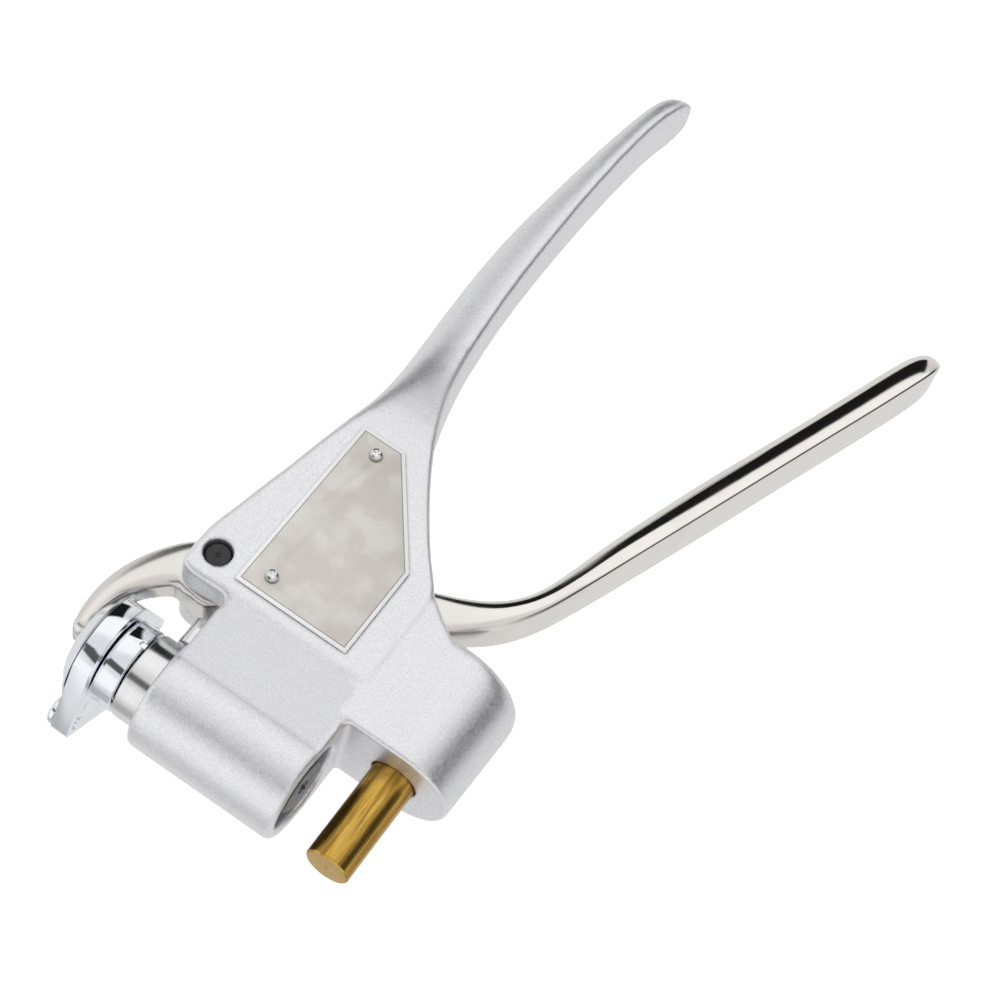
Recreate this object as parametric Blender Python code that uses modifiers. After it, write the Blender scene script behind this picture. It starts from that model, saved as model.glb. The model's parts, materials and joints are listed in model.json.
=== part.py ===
"""A pliers-type hardness tester for aluminium profiles, modelled as separate pieces.

The layout is worked out in millimetres about the datum, the point where the penetrator axis
crosses the anvil axis: +X runs along the penetrator axis towards the anvil, +Y towards the
handles and +Z out of the name plate. Everything hangs from the empty "datum", which stands
at DATUM so that the origin is under the middle of the tool as it lies down.
"""

import math

import bmesh
import bpy
from mathutils import Euler, Matrix, Vector

MM = 0.001

# Where the datum stands above the origin, which is under the middle of the bounding box.
DATUM = (14.66, -87.77, 21.95)

# Running and seating gaps.
GAP = 0.3
PRESS_GAP = 0.25

# Frame casting.
PAD_HALF = 12.63
ARM_HALF = 12.3
WEB_HALF = 11.9
EAR_BOTTOM = 19.5
SLOT_HALF = 4.2

# Barrel and what runs in it, about the X axis.
BARREL_R = 12.5
BARREL_LEFT = -48.0
BARREL_RIGHT = -12.84
BORE_R = 9.9
HOUSING_R = 9.57
HOUSING_LEFT = -53.6
SHOULDER_X = -29.3
NOSE_R = 6.4
NOSE_X = -13.4
HOUSING_INNER_R = 7.8
HOUSING_INNER_END = -31.0
SPINDLE_R = 2.5
TIP_X = -12.8
RING_LEFT = -17.2
RING_RIGHT = -16.0

# Anvil post, about the Y axis.
ANVIL_R = 5.0
ANVIL_END = -10.94
ANVIL_SEAT = 31.0
ARM_FACE = 12.02

# Lever hinge.
PIVOT = (-54.38, 26.29)
PIN_R = 2.8
PIN_HOLE_R = 3.1
PIN_HALF = 11.3
BUSH_R = 4.4
HUB_R = 8.2
LEVER_HALF = 3.9

# Indicator case, standing across the back of the housing.
CASE_FRONT = -59.4
CASE_BACK = -63.4
CASE_TOP_R = 12.0
CASE_EAR = (16.8, -10.2)
CASE_POINT = -22.3
EAR_SCREW = (12.6, -9.4)
CAP_FACE = -66.95

# Sector dial let into the back of the case.
DIAL_POCKET_FLOOR = -61.4
DIAL_PIVOT_Z = -8.0
POINTER_REST = math.radians(35)
POINTER_LENGTH = 8.2

# Name plate outline and its screws.
PLATE_CORNERS = [(-48.3, 23.5), (-47.9, 68.4), (-37.6, 68.4), (-21.0, 45.8), (-21.1, 23.4)]
PLATE_SCREWS = {"upper": (-41.9, 64.0), "lower": (-42.5, 28.2)}
PLATE_TOP = 12.93
PLATE_THICK = 0.5

ROUND_STEPS = 36
SMALL_STEPS = 16
QUARTER_STEPS = 4
FRAME_QUARTER_STEPS = 7
BARREL_STEPS = 72

TURN_TO_X = Euler((0.0, math.radians(90), 0.0))
TURN_TO_Y = Euler((math.radians(-90), 0.0, 0.0))
UPRIGHT = Euler((0.0, 0.0, 0.0))


# ---------------------------------------------------------------- scene and helpers


def clear_scene():
    """Removes every object, so the script always starts from nothing."""
    for obj in list(bpy.data.objects):
        bpy.data.objects.remove(obj, do_unlink=True)


def new_collection(name):
    """A collection linked to the scene."""
    collection = bpy.data.collections.new(name)
    bpy.context.scene.collection.children.link(collection)
    return collection


def new_material(name, colour, roughness, metallic, alpha=1.0):
    """A Principled material with one colour and finish."""
    material = bpy.data.materials.new(name)
    material.use_nodes = True
    shader = material.node_tree.nodes["Principled BSDF"]
    shader.inputs["Base Color"].default_value = (*colour, 1.0)
    shader.inputs["Roughness"].default_value = roughness
    shader.inputs["Metallic"].default_value = metallic
    shader.inputs["Alpha"].default_value = alpha
    return material


clear_scene()
PARTS = new_collection("hardness_tester")
CUTTERS = new_collection("cutters")


def new_empty(name, at, parent=None):
    """An empty standing at a place given in millimetres from its parent."""
    empty = bpy.data.objects.new(name, None)
    empty.location = Vector(at) * MM
    empty.parent = parent
    PARTS.objects.link(empty)
    return empty


def add_object(name, mesh, parent, material=None):
    """Puts a mesh in the parts if it has a material, or among the cutters."""
    obj = bpy.data.objects.new(name, mesh)
    obj.parent = parent
    if material:
        mesh.materials.append(material)
        PARTS.objects.link(obj)
    else:
        obj.hide_render = True
        obj.display_type = "WIRE"
        CUTTERS.objects.link(obj)
    return obj


def place(obj, at, turn=UPRIGHT):
    """Sets an object's place, in millimetres from its parent, and its turn."""
    obj.location = Vector(at) * MM
    obj.rotation_euler = turn
    return obj


def smooth(obj, angle=35):
    """Smooth shading with sharp edges kept past an angle in degrees."""
    obj.data.shade_smooth()
    obj.data.set_sharp_from_angle(angle=math.radians(angle))
    return obj


def turned(name, profile, parent, material=None, at=(0, 0, 0), turn=UPRIGHT, steps=ROUND_STEPS):
    """A turned piece about local Z from (height, radius) points.

    An open profile runs from the axis at the top, down the outside, to the axis at the
    bottom. A profile that never meets the axis is closed into a ring.
    """
    mesh = bpy.data.meshes.new(name)
    points = [(radius * MM, 0.0, height * MM) for height, radius in profile]
    edges = [(i, i + 1) for i in range(len(points) - 1)]
    if min(radius for _, radius in profile) > 0:
        edges.append((len(points) - 1, 0))
    mesh.from_pydata(points, edges, [])
    obj = place(add_object(name, mesh, parent, material), at, turn)
    screw = obj.modifiers.new("turning", "SCREW")
    screw.axis = "Z"
    screw.angle = math.tau
    screw.steps = steps
    screw.render_steps = steps
    screw.use_merge_vertices = True
    screw.merge_threshold = 0.000001
    screw.use_smooth_shade = False
    return obj


def rod(name, low, high, radius, parent, material=None, at=(0, 0, 0), turn=UPRIGHT,
        steps=ROUND_STEPS, chamfer=0.0):
    """A plain turned rod between two heights, with chamfered ends if asked."""
    profile = [(high, 0), (high, radius - chamfer)]
    if chamfer:
        profile += [(high - chamfer, radius), (low + chamfer, radius)]
    profile += [(low, radius - chamfer), (low, 0)] if chamfer else [(low, radius), (low, 0)]
    return turned(name, profile, parent, material, at, turn, steps)


def fillet_outline(corners):
    """Replaces each (x, y, radius) corner of a closed outline with an arc."""
    outline = []
    count = len(corners)
    for index, (x, y, radius) in enumerate(corners):
        here = Vector((x, y))
        back = (Vector(corners[index - 1][:2]) - here).normalized()
        ahead = (Vector(corners[(index + 1) % count][:2]) - here).normalized()
        if radius == 0:
            outline.append((x, y))
            continue
        half = back.angle(ahead) / 2
        middle = here + (back + ahead).normalized() * (radius / math.sin(half))
        start = here + back * (radius / math.tan(half)) - middle
        sweep = math.pi - 2 * half
        side = -1 if back.cross(ahead) > 0 else 1
        steps = max(2, math.ceil(math.degrees(sweep) / 18))
        for step in range(steps + 1):
            turn = Matrix.Rotation(side * sweep * step / steps, 2)
            outline.append(tuple(middle + turn @ start))
    return outline


def plate(name, outline, low, high, parent, material=None, at=(0, 0, 0), turn=UPRIGHT):
    """A flat piece: a filled outline between two heights, welded into one mesh."""
    curve = bpy.data.curves.new(name, "CURVE")
    curve.dimensions = "2D"
    curve.fill_mode = "BOTH"
    curve.extrude = (high - low) / 2 * MM
    spline = curve.splines.new("POLY")
    spline.points.add(len(outline) - 1)
    spline.use_cyclic_u = True
    for point, (x, y) in zip(spline.points, outline):
        point.co = (x * MM, y * MM, 0, 1)
    blank = bpy.data.objects.new(name + "_blank", curve)
    CUTTERS.objects.link(blank)
    graph = bpy.context.evaluated_depsgraph_get()
    mesh = bpy.data.meshes.new_from_object(blank.evaluated_get(graph))
    bpy.data.objects.remove(blank, do_unlink=True)
    bm = bmesh.new()
    bm.from_mesh(mesh)
    bmesh.ops.remove_doubles(bm, verts=bm.verts, dist=0.000001)
    bmesh.ops.translate(bm, verts=bm.verts, vec=(0, 0, (high + low) / 2 * MM))
    bmesh.ops.recalc_face_normals(bm, faces=bm.faces)
    bm.to_mesh(mesh)
    bm.free()
    mesh.materials.clear()
    return place(add_object(name, mesh, parent, material), at, turn)


def block(name, low, high, parent, material=None):
    """A box between two corners, from a cube primitive."""
    bm = bmesh.new()
    bmesh.ops.create_cube(bm, size=1.0)
    size = Vector(high) - Vector(low)
    middle = (Vector(high) + Vector(low)) / 2
    for vert in bm.verts:
        vert.co = Vector(c * s + m for c, s, m in zip(vert.co, size, middle)) * MM
    mesh = bpy.data.meshes.new(name)
    bm.to_mesh(mesh)
    bm.free()
    return add_object(name, mesh, parent, material)


def loft(name, rings, parent, material=None):
    """Skins equal rings of points, given in millimetres, and closes both ends."""
    bm = bmesh.new()
    skins = [[bm.verts.new(Vector(point) * MM) for point in ring] for ring in rings]
    for first, second in zip(skins, skins[1:]):
        for index in range(len(first)):
            after = (index + 1) % len(first)
            bm.faces.new((first[index], first[after], second[after], second[index]))
    bm.faces.new(reversed(skins[0]))
    bm.faces.new(skins[-1])
    bmesh.ops.recalc_face_normals(bm, faces=bm.faces)
    mesh = bpy.data.meshes.new(name)
    bm.to_mesh(mesh)
    bm.free()
    return smooth(add_object(name, mesh, parent, material))


def section(left, right, half, left_corner, right_corner, steps=QUARTER_STEPS):
    """A ring across a bar: quarter ellipses at its four corners.

    left and right are the bar's two sides in plan, half is half its height in Z, and each
    corner is its reach across the bar and its reach in Z.
    """
    left, right = Vector(left), Vector(right)
    width = (right - left).length
    across = (right - left) / width
    ring = []
    quarters = ((width, half, right_corner, 0), (0, half, left_corner, 90),
                (0, -half, left_corner, 180), (width, -half, right_corner, 270))
    for side, level, (reach, rise), start in quarters:
        inward = -reach if side else reach
        drop = -rise if level > 0 else rise
        for step in range(steps + 1):
            angle = math.radians(start + 90 * step / steps)
            u = side + inward + reach * math.cos(angle)
            w = level + drop + rise * math.sin(angle)
            point = left + across * u
            ring.append((point.x, point.y, w))
    return ring


def blend_stations(stations, steps):
    """Catmull-Rom points through a list of equal tuples of numbers."""
    rows = [stations[0]] + list(stations) + [stations[-1]]
    blended = []
    for index in range(1, len(rows) - 2):
        p0, p1, p2, p3 = rows[index - 1:index + 3]
        for step in range(steps):
            t = step / steps
            blended.append(tuple(
                0.5 * (2 * b + (c - a) * t + (2 * a - 5 * b + 4 * c - d) * t ** 2
                       + (3 * b - a - 3 * c + d) * t ** 3)
                for a, b, c, d in zip(p0, p1, p2, p3)))
    blended.append(stations[-1])
    return blended


def combine(obj, other, operation):
    """A Boolean with another object, kept as a modifier."""
    boolean = obj.modifiers.new(other.name, "BOOLEAN")
    boolean.operation = operation
    boolean.solver = "EXACT"
    boolean.object = other
    return obj


def bevel(obj, width, segments=2, angle=40):
    """Rounds an object's sharp edges."""
    modifier = obj.modifiers.new("rounding", "BEVEL")
    modifier.width = width * MM
    modifier.segments = segments
    modifier.limit_method = "ANGLE"
    modifier.angle_limit = math.radians(angle)
    modifier.use_clamp_overlap = True
    return obj


def coil(name, low, high, mean_r, wire_r, turns, parent, material):
    """A compression spring along X, a tube swept on a helix with closed ends."""
    points_per_turn = 10
    total = int(turns * points_per_turn)
    curve = bpy.data.curves.new(name, "CURVE")
    curve.dimensions = "3D"
    curve.bevel_depth = wire_r * MM
    curve.bevel_resolution = 2
    curve.use_fill_caps = True
    spline = curve.splines.new("POLY")
    spline.points.add(total)
    first, last = low + wire_r, high - wire_r
    for index, point in enumerate(spline.points):
        angle = math.tau * index / points_per_turn
        x = first + (last - first) * index / total
        point.co = (x * MM, mean_r * math.cos(angle) * MM, mean_r * math.sin(angle) * MM, 1)
    curve.materials.append(material)
    obj = bpy.data.objects.new(name, curve)
    obj.parent = parent
    PARTS.objects.link(obj)
    return obj


# ---------------------------------------------------------------- finishes

CAST = new_material("cast_silver", (0.74, 0.75, 0.77), 0.38, 0.8)
POLISHED = new_material("polished_steel", (0.80, 0.79, 0.77), 0.08, 1.0)
CHROME = new_material("chrome_plate", (0.80, 0.83, 0.88), 0.1, 1.0)
GROUND = new_material("ground_steel", (0.66, 0.66, 0.67), 0.25, 1.0)
SPRING = new_material("spring_steel", (0.42, 0.43, 0.45), 0.35, 1.0)
BLACK = new_material("black_oxide", (0.02, 0.02, 0.022), 0.4, 0.6)
BRASS = new_material("anvil_brass", (0.72, 0.50, 0.16), 0.25, 1.0)
BRONZE = new_material("bush_bronze", (0.55, 0.36, 0.18), 0.4, 1.0)
ETCHED = new_material("etched_plate", (0.72, 0.69, 0.65), 0.35, 0.6)
DIAL_WHITE = new_material("dial_white", (0.90, 0.90, 0.88), 0.5, 0.0)
NEEDLE = new_material("needle_black", (0.01, 0.01, 0.01), 0.5, 0.0)
CLEAR = new_material("clear_window", (0.92, 0.95, 0.96), 0.05, 0.0, 0.35)


# ---------------------------------------------------------------- frame casting


def frame_body(datum):
    """Pad and handle: one loft up Y, from the ears to the handle's tip.

    Each station is the left side, the right side, the height Y, half the thickness, and the
    reach of the left and right corners across and in Z.
    """
    stations = [
        (-56.5, -13.6, EAR_BOTTOM, 11.7, 1.2, 1.2, 1.2, 1.2),
        (-58.7, -13.6, 20.4, 12.4, 1.2, 1.2, 1.2, 1.2),
        (-59.5, -13.6, 22.4, PAD_HALF, 1.2, 1.2, 1.2, 1.2),
        (-59.5, -13.6, 30.0, PAD_HALF, 1.2, 1.2, 1.2, 1.2),
        (-58.2, -13.6, 36.5, PAD_HALF, 1.2, 1.2, 1.2, 1.2),
        (-57.0, -13.6, 42.5, PAD_HALF, 1.2, 1.2, 1.2, 1.2),
        (-56.2, -15.0, 46.5, PAD_HALF, 1.2, 1.2, 1.2, 1.2),
        (-55.0, -19.6, 52.0, PAD_HALF, 1.3, 1.2, 1.2, 1.2),
        (-53.6, -25.4, 60.0, PAD_HALF, 1.5, 1.3, 1.2, 1.2),
        (-51.9, -31.0, 69.0, PAD_HALF, 2.0, 1.8, 1.3, 1.3),
        (-50.9, -35.0, 77.0, 12.3, 3.4, 3.2, 1.4, 1.3),
        (-51.4, -37.9, 85.0, 10.9, 6.5, 6.0, 1.5, 1.3),
        (-52.2, -39.9, 93.0, 9.1, 9.5, 7.6, 1.5, 1.3),
        (-52.9, -41.7, 103.5, 8.0, 10.0, 7.6, 1.5, 1.2),
        (-53.6, -43.0, 118.0, 7.5, 9.6, 7.4, 1.5, 1.2),
        (-53.5, -43.5, 133.0, 7.6, 9.0, 7.5, 1.5, 1.2),
        (-52.4, -43.5, 147.0, 7.9, 8.0, 7.8, 1.5, 1.2),
        (-50.7, -43.0, 163.0, 8.2, 6.8, 8.1, 1.5, 1.2),
        (-48.9, -42.0, 176.0, 8.2, 6.0, 8.1, 1.4, 1.2),
        (-47.6, -40.7, 183.5, 7.8, 5.6, 7.7, 1.3, 1.2),
        (-46.2, -39.6, 188.0, 6.5, 5.0, 6.4, 1.2, 1.2),
        (-44.4, -39.0, 190.6, 4.2, 3.8, 4.1, 1.0, 1.2),
        (-43.0, -39.6, 191.8, 1.9, 2.0, 1.8, 0.6, 0.8),
    ]
    rings = []
    for left, right, y, half, left_u, left_w, right_u, right_w in blend_stations(stations, 2):
        rings.append(section((left, y), (right, y), half, (left_u, left_w), (right_u, right_w),
                             FRAME_QUARTER_STEPS))
    body = loft("frame", rings, datum, CAST)
    return body


def frame_arm(datum):
    """Arm that carries the anvil: flat faces, a half-round side and a rounded top corner."""
    stations = [
        (12.5, ARM_FACE, 11.9),
        (12.8, 12.6, ARM_HALF),
        (13.4, 33.0, ARM_HALF),
        (13.3, 35.8, ARM_HALF),
        (12.5, 38.0, ARM_HALF),
        (10.9, 39.4, 11.9),
        (8.4, 40.0, 11.2),
    ]
    rings = []
    for right, y, half in stations:
        corner = half - 0.01
        rings.append(section((-15.2, y), (right, y), half, (0.5, 0.5), (corner, corner),
                             2 * FRAME_QUARTER_STEPS))
    return loft("arm", rings, datum)


def frame_barrel(datum):
    """Barrel round the penetrator housing, with rounded ends."""
    left, right, edge = BARREL_LEFT, BARREL_RIGHT, 1.2
    profile = [(right, 0), (right, BARREL_R - edge), (right - edge * 0.3, BARREL_R - edge * 0.3),
               (right - edge, BARREL_R), (left + edge, BARREL_R),
               (left + edge * 0.3, BARREL_R - edge * 0.3), (left, BARREL_R - edge), (left, 0)]
    return turned("barrel", profile, datum, turn=TURN_TO_X, steps=BARREL_STEPS)


def frame_web(datum):
    """Web that joins the barrel to the pad, a little below the pad's faces."""
    web = block("web", (BARREL_LEFT + 0.7, 0.0, -WEB_HALF), (BARREL_RIGHT + 0.06, 22.0, WEB_HALF), datum)
    return web


def arm_root(datum):
    """Corner between the pad's sloping side and the top of the arm."""
    outline = fillet_outline([(-19, 50.2, 0), (-15.2, 46.2, 0), (-9.6, 42.0, 4), (-5.2, 39.3, 4), (-4, 35, 0),
                              (-19, 35, 0)])
    return bevel(plate("arm_root", outline, -ARM_HALF, ARM_HALF, datum), 1.0)


def far_lobe(datum):
    """Lower lobe of the far ear, beside the back of the barrel."""
    outline = fillet_outline([(-51.6, 22, 0), (-51.6, 12.4, 2.5), (-46.5, 12.4, 0), (-46.5, 22, 0)])
    return bevel(plate("far_lobe", outline, -WEB_HALF, -SLOT_HALF, datum), 0.8)


def lever_slot(datum):
    """Slot between the two cheeks: the room that the lever sweeps, plus clearance."""
    outline = [(-75, -2), (-47.3, -2), (-47.3, 21.0), (-43.5, 24.6), (-14.5, 39.6), (2, 47.6), (2, 75)]
    hub_room = HUB_R + 0.9
    far_corner = Vector((-10.2, 73.4))
    outline.append(tuple(far_corner))
    reach = far_corner - Vector(PIVOT)
    tangent = math.atan2(reach.y, reach.x) + math.acos(hub_room / reach.length)
    for step in range(3):
        angle = tangent + (math.radians(150) - tangent) * step / 2
        outline.append((PIVOT[0] + hub_room * math.cos(angle), PIVOT[1] + hub_room * math.sin(angle)))
    outline.append((-75, outline[-1][1]))
    return plate("lever_slot", outline, -SLOT_HALF, SLOT_HALF, datum)


def barrel_bore(datum):
    """Bore for the housing, with a small chamfer at the mouth."""
    mouth = BARREL_RIGHT
    profile = [(mouth + 2, 0), (mouth + 2, BORE_R + 0.5), (mouth, BORE_R + 0.5), (mouth - 0.5, BORE_R),
               (BARREL_LEFT - 2, BORE_R), (BARREL_LEFT - 2, 0)]
    return turned("barrel_bore", profile, datum, turn=TURN_TO_X)


def key_pocket(datum):
    """Keyway in the web above the bore."""
    outline = fillet_outline([(-49, -3.3, 0), (-35.7, -3.3, 2.2), (-35.7, 3.3, 2.2), (-49, 3.3, 0)])
    return plate("key_pocket", outline, 8.0, 16.9, datum, turn=TURN_TO_Y)


def make_frame(datum):
    """The casting: body, arm, barrel and web joined, then every hole and slot cut."""
    frame = frame_body(datum)
    for piece in (frame_web(datum), frame_barrel(datum), frame_arm(datum), arm_root(datum),
                  far_lobe(datum)):
        combine(frame, piece, "UNION")
    x, y = PIVOT
    cutters = [
        lever_slot(datum),
        barrel_bore(datum),
        key_pocket(datum),
        rod("pin_hole", -15, 15, PIN_HOLE_R, datum, at=(x, y, 0), steps=24),
        rod("anvil_hole", ARM_FACE - 3, ANVIL_SEAT + GAP, ANVIL_R + PRESS_GAP, datum, turn=TURN_TO_Y, steps=24),
        rod("set_screw_hole", -16, -ANVIL_R, 2.3, datum, at=(0, 22, 0), steps=SMALL_STEPS),
        turned("key_screw_hole", [(-3.2, 0), (-3.2, 1.6), (-9.4, 1.6), (-9.4, 2.9), (-16, 2.9), (-16, 0)],
               datum, at=(-42, 13.3, 0), steps=SMALL_STEPS),
        plate("plate_pocket", grow(PLATE_CORNERS, PRESS_GAP), PLATE_TOP - PLATE_THICK - 0.25, 15, datum),
    ]
    for name, (hole_x, hole_y) in PLATE_SCREWS.items():
        cutters.append(rod(f"plate_hole_{name}", 8.5, 13, 1.1, datum, at=(hole_x, hole_y, 0), steps=16))
    for cutter in cutters:
        combine(frame, cutter, "DIFFERENCE")
    return frame


def grow(corners, margin):
    """Moves each side of a clockwise outline outwards by a margin (inwards if negative)."""
    grown = []
    count = len(corners)
    for index in range(count):
        before, here, after = (Vector(corners[(index + k) % count]) for k in (-1, 0, 1))
        first = (here - before).normalized()
        second = (after - here).normalized()
        normal_a, normal_b = Vector((-first.y, first.x)), Vector((-second.y, second.x))
        reach = margin / (1 + normal_a.dot(normal_b))
        grown.append(tuple(here + (normal_a + normal_b) * reach))
    return grown


# ---------------------------------------------------------------- lever


def make_lever(pivot):
    """Lever: a hooked nose, the hub, the shank through the slot and a D-section grip.

    Each station is a point on the outer side and one on the inner side of the bar, half its
    height, and the reach of the outer and inner corners across and in Z.
    """
    arch = LEVER_HALF
    stations = [
        (-69.7, -1.1, -68.4, -1.15, 2.2, 0.7, 0.7, 0.7, 0.7),
        (-70.4, -0.2, -67.6, -0.4, 3.3, 1.2, 1.2, 1.2, 1.2),
        (-70.9, 1.5, -67.25, 0.9, arch, 1.9, 2.4, 1.5, 1.7),
        (-71.7, 5.1, -67.25, 4.4, arch, 2.4, 3.0, 1.8, 2.0),
        (-71.9, 10.8, -66.3, 9.9, arch, 3.1, 3.3, 2.2, 2.2),
        (-70.8, 16.7, -64.3, 13.6, arch, 4.0, 3.4, 2.6, 2.2),
        (-68.4, 22.5, -62.2, 16.2, arch, 4.8, 3.3, 3.0, 2.1),
        (-64.9, 27.6, -59.4, 18.7, arch, 4.6, 2.8, 3.0, 1.8),
        (-61.2, 30.9, -56.4, 18.6, arch, 3.2, 2.1, 2.2, 1.5),
        (-56.9, 33.9, -51.4, 18.8, arch, 1.6, 1.6, 1.2, 1.2),
        (-50.5, 34.4, -46.4, 23.2, arch, 1.4, 1.4, 1.2, 1.2),
        (-40.0, 39.3, -35.0, 30.3, arch, 1.4, 1.4, 1.2, 1.2),
        (-26.0, 46.1, -21.5, 37.0, arch, 1.8, 1.6, 1.6, 1.4),
        (-16.0, 50.9, -11.2, 41.9, arch, 3.0, 2.4, 2.6, 2.0),
        (-11.0, 53.2, -6.8, 44.8, 4.2, 3.6, 2.8, 3.0, 2.5),
        (-6.2, 55.9, -2.9, 48.0, 4.9, 3.9, 3.3, 3.0, 2.8),
        (-2.4, 59.2, 1.3, 53.0, 5.6, 4.0, 3.9, 2.4, 2.4),
        (0.7, 64.1, 5.2, 59.9, 5.9, 4.1, 4.7, 1.6, 1.6),
        (3.2, 71.5, 8.9, 69.1, 6.3, 4.6, 5.7, 1.1, 1.1),
        (7.1, 85.4, 14.0, 83.0, 6.7, 5.6, 6.3, 0.8, 0.8),
        (14.1, 106.9, 21.7, 104.0, 6.9, 7.3, 6.7, 0.8, 0.8),
        (22.2, 128.9, 29.7, 126.1, 6.9, 7.2, 6.8, 0.8, 0.8),
        (28.9, 147.5, 36.5, 144.7, 6.9, 7.3, 6.8, 0.8, 0.8),
        (32.8, 158.5, 40.4, 155.8, 6.8, 7.2, 6.7, 0.8, 0.8),
        (35.0, 164.1, 42.2, 161.6, 6.2, 6.8, 6.1, 0.7, 0.8),
        (36.7, 167.0, 42.6, 165.0, 4.7, 5.4, 4.6, 0.6, 0.8),
        (38.4, 168.6, 41.9, 167.4, 2.3, 3.0, 2.2, 0.5, 0.6),
    ]
    offset = Vector(PIVOT)
    rings = []
    for row in blend_stations(stations, 2):
        outer, inner = Vector(row[0:2]) - offset, Vector(row[2:4]) - offset
        rings.append(section(outer, inner, row[4], row[5:7], row[7:9]))
    lever = loft("lever", rings, pivot, POLISHED)
    combine(lever, rod("bush_hole", -6, 6, BUSH_R + PRESS_GAP, pivot, steps=24), "DIFFERENCE")
    return lever


def make_lever_hinge(datum, pivot):
    """Pin fixed in the cheeks, with a centre mark, and the lever's bush."""
    x, y = PIVOT
    pin = [(PIN_HALF - 0.6, 0), (PIN_HALF, 0.6), (PIN_HALF, PIN_R - 0.3), (PIN_HALF - 0.3, PIN_R),
           (0.3 - PIN_HALF, PIN_R), (-PIN_HALF, PIN_R - 0.3), (-PIN_HALF, 0)]
    turned("lever_pin", pin, datum, BLACK, at=(x, y, 0), steps=24)
    half = LEVER_HALF - 0.1
    inner = PIN_R + GAP
    bush = [(half, inner), (half, BUSH_R), (-half, BUSH_R), (-half, inner)]
    turned("lever_bush", bush, pivot, BRONZE, steps=24)


# ---------------------------------------------------------------- anvil and fasteners


def make_anvil(datum):
    """Anvil post and the socket set screw that holds it from the far side."""
    rod("anvil", ANVIL_END, ANVIL_SEAT, ANVIL_R, datum, BRASS, turn=TURN_TO_Y, chamfer=0.35)
    screw = rod("anvil_set_screw", -11.6, -ANVIL_R - GAP, 2.0, datum, BLACK, at=(0, 22, 0),
                steps=SMALL_STEPS, chamfer=0.3)
    combine(screw, rod("set_screw_socket", -13, -10, 1.15, datum, at=(0, 22, 0), steps=6), "DIFFERENCE")


def make_key(datum):
    """Key that stops the housing turning, with its tongue and its screw."""
    outline = fillet_outline([(-51.9, -3, 2.6), (-36, -3, 2), (-36, 3, 2), (-51.9, 3, 2.6)])
    key = plate("housing_key", outline, 10.2, 16.6, datum, GROUND, turn=TURN_TO_Y)
    bevel(key, 0.4)
    combine(key, block("key_tongue", (-46, 8.5, -1.4), (-37, 11, 1.4), datum), "UNION")
    profile = [(-3.7, 0), (-3.7, 1.3), (-9.7, 1.3), (-9.7, 2.6), (-11.4, 2.6), (-11.4, 0)]
    screw = turned("key_screw", profile, datum, BLACK, at=(-42, 13.3, 0), steps=SMALL_STEPS)
    combine(screw, rod("key_screw_socket", -13, -10.5, 1.3, datum, at=(-42, 13.3, 0), steps=6), "DIFFERENCE")


def cross_recess(name, x, y, top, parent, turn=UPRIGHT, size=1.5):
    """Cutter for a cross recess, two crossed bars in one piece."""
    bar = block(name, (-size / 2, -size / 7, -0.35), (size / 2, size / 7, 0.4), parent)
    other = block(name + "_cross", (-size / 7, -size / 2, -0.35), (size / 7, size / 2, 0.4), parent)
    place(bar, (x, y, top), turn)
    place(other, (x, y, top), turn)
    return bar, other


def make_name_plate(datum):
    """Name plate in its shallow pocket, and its two cross-recess screws."""
    low = PLATE_TOP - PLATE_THICK
    name_plate = plate("name_plate", PLATE_CORNERS, low, PLATE_TOP, datum, ETCHED)
    for name, (x, y) in PLATE_SCREWS.items():
        combine(name_plate, rod(f"plate_clearance_{name}", 11, 14, 1.1, datum, at=(x, y, 0), steps=16),
                "DIFFERENCE")
        top = PLATE_TOP + 1.05
        profile = [(top, 0), (top, 0.8), (top - 0.25, 1.25), (top - 0.55, 1.4), (top - 0.8, 1.4),
                   (top - 0.8, 0.8), (9.0, 0.8), (9.0, 0)]
        screw = turned(f"name_plate_screw_{name}", profile, datum, GROUND, at=(x, y, 0), steps=SMALL_STEPS)
        for bar in cross_recess(f"plate_recess_{name}", x, y, top, datum):
            combine(screw, bar, "DIFFERENCE")


# ---------------------------------------------------------------- penetrator housing


def make_housing(slide):
    """Sliding housing: a sleeve with a keyway, a shoulder and a narrower nose."""
    profile = [(NOSE_X, 1.6), (NOSE_X, NOSE_R - 0.5), (NOSE_X - 0.5, NOSE_R), (SHOULDER_X, NOSE_R),
               (SHOULDER_X, HOUSING_R - 0.3), (SHOULDER_X - 0.3, HOUSING_R), (HOUSING_LEFT + 0.3, HOUSING_R),
               (HOUSING_LEFT, HOUSING_R - 0.3), (HOUSING_LEFT, HOUSING_INNER_R),
               (HOUSING_INNER_END, HOUSING_INNER_R), (HOUSING_INNER_END, SPINDLE_R + GAP),
               (NOSE_X - 3.0, SPINDLE_R + GAP), (NOSE_X - 1.8, 1.6)]
    housing = turned("penetrator_housing", profile, slide, GROUND, turn=TURN_TO_X)
    keyway = block("keyway", (-53.9, 8.2, -1.7), (-36.7, 12, 1.7), slide)
    return combine(housing, keyway, "DIFFERENCE")


def make_penetrator(slide, spindle):
    """Penetrator with its fine tip, the spring seat on its spindle, and the load spring."""
    tip = TIP_X
    profile = [(tip, 0), (tip - 0.1, 0.35), (tip - 0.9, 1.2), (NOSE_X - 2.3, 1.2), (NOSE_X - 3.5, SPINDLE_R),
               (-34.0, SPINDLE_R), (-34.0, 1.9), (-62.0, 1.9), (-62.3, 1.6), (-62.3, 0)]
    turned("penetrator", profile, spindle, GROUND, turn=TURN_TO_X, steps=24)
    seat = [(-34.3, 2.2), (-34.3, 7.2), (-35.8, 7.2), (-35.8, 4.4), (-37.2, 4.4), (-37.2, 2.2)]
    turned("spring_seat", seat, spindle, GROUND, turn=TURN_TO_X, steps=24)
    coil("load_spring", -48.6, -36.1, 5.9, 0.8, 5.5, slide, SPRING)


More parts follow.
